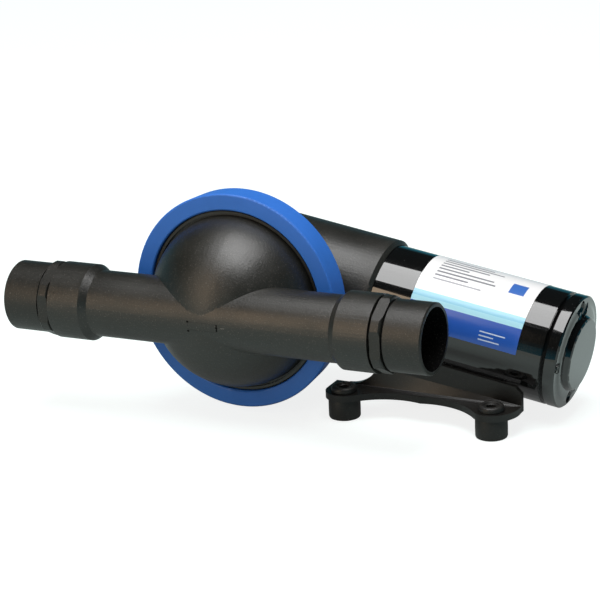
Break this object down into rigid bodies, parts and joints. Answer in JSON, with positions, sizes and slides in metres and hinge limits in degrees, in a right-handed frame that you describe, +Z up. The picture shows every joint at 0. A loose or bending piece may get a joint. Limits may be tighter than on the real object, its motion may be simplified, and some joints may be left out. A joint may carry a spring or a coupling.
{
  "type": "electric diaphragm bilge pump",
  "caption": "Motor-driven diaphragm bilge pump: domed head with cross manifold and hose spigots, clamp ring, crank casing, motor and cradle on rubber feet.",
  "frame": {"origin": "centre of the four mounting holes, on the floor under the rubber feet", "axes": "+X towards the tail of the motor, -Y the way the diaphragm and head face, +Z up"},
  "size_m": [0.3082, 0.1574, 0.1282],
  "materials": {
    "blue_plastic": "satin",
    "black_plastic": "matte",
    "motor_paint": "gloss",
    "cap_paint": "satin",
    "base_steel": "satin",
    "foot_rubber": "matte",
    "diaphragm_rubber": "matte",
    "zinc_steel": "brushed",
    "bearing_steel": "ground",
    "bronze": "machined",
    "cast_zinc": "cast",
    "acetal": "machined",
    "copper": "varnished",
    "carbon": "matte",
    "ferrite": "matte",
    "lamination": "stacked sheet"
  },
  "bodies": {
    "housing": {"pump_body": "black_plastic", "diaphragm": "diaphragm_rubber", "crank_bearing": "bearing_steel", "ring_gear": "acetal", "motor_front_plate": "cast_zinc", "motor_tube": "motor_paint", "motor_end_cap": "cap_paint", "lead_grommet": "foot_rubber", "through_bolts": "zinc_steel", "front_motor_bearing": "bearing_steel", "rear_motor_bearing": "bearing_steel", "shaft_seal": "diaphragm_rubber", "carbon_brushes": "carbon", "brush_holder": "acetal", "field_magnets": "ferrite", "mounting_base": "base_steel", "mounting_feet": "foot_rubber", "cradle_screws": "zinc_steel"},
    "rotor": {"motor_shaft": "bearing_steel", "sun_gear": "bearing_steel", "armature_core": "lamination", "armature_winding": "copper", "commutator": "copper"},
    "crank": {"crankshaft": "cast_zinc", "planet_pins": "bearing_steel", "carrier_plate": "zinc_steel", "crank_washer": "zinc_steel", "crank_screw": "zinc_steel"},
    "planet_a": {"planet_gear_a": "acetal"},
    "planet_b": {"planet_gear_b": "acetal"},
    "planet_c": {"planet_gear_c": "acetal"},
    "rod": {"connecting_rod": "cast_zinc", "rod_bearing": "bronze", "diaphragm_back_plate": "cast_zinc", "diaphragm_front_plate": "cast_zinc", "diaphragm_screw": "zinc_steel"},
    "head": {"pump_head": "black_plastic", "inlet_port": "black_plastic", "outlet_port": "black_plastic", "port_seals": "diaphragm_rubber", "inlet_valve": "diaphragm_rubber", "outlet_valve": "diaphragm_rubber"},
    "ring": {"clamp_ring": "blue_plastic"}
  },
  "joints": [
    {"name": "motor_spin", "type": "hinge", "parent": "housing", "child": "rotor", "pos_m": [-0.101, 0, 0.0664], "axis": [0.9874, 0, -0.1582], "continuous": true},
    {"name": "crank_spin", "type": "hinge", "parent": "housing", "child": "crank", "pos_m": [-0.101, 0, 0.0664], "axis": [0.9874, 0, -0.1582], "continuous": true},
    {"name": "planet_a_spin", "type": "hinge", "parent": "crank", "child": "planet_a", "pos_m": [-0.09863, 0, 0.08121], "axis": [0.9874, 0, -0.1582], "continuous": true},
    {"name": "planet_b_spin", "type": "hinge", "parent": "crank", "child": "planet_b", "pos_m": [-0.10219, -0.01299, 0.05899], "axis": [0.9874, 0, -0.1582], "continuous": true},
    {"name": "planet_c_spin", "type": "hinge", "parent": "crank", "child": "planet_c", "pos_m": [-0.10219, 0.01299, 0.05899], "axis": [0.9874, 0, -0.1582], "continuous": true},
    {"name": "rod_pivot", "type": "hinge", "parent": "crank", "child": "rod", "pos_m": [-0.101, 0.004, 0.0664], "axis": [0.9874, 0, -0.1582], "continuous": true, "deforming": ["diaphragm"]},
    {"name": "head_swivel", "type": "hinge", "parent": "housing", "child": "head", "pos_m": [-0.101, 0, 0.0664], "axis": [0, -1, 0], "range_deg": [-90, 90]},
    {"name": "clamp_ring_turn", "type": "hinge", "parent": "housing", "child": "ring", "pos_m": [-0.101, 0, 0.0664], "axis": [0, -1, 0], "range_deg": [0, 34.5]}
  ],
  "couplings": [
    {"joint": "crank_spin", "follows": "motor_spin", "ratio": 0.2},
    {"joint": "rod_pivot", "follows": "motor_spin", "ratio": -0.2},
    {"joint": "planet_a_spin", "follows": "motor_spin", "ratio": -0.53333},
    {"joint": "planet_b_spin", "follows": "motor_spin", "ratio": -0.53333},
    {"joint": "planet_c_spin", "follows": "motor_spin", "ratio": -0.53333}
  ]
}
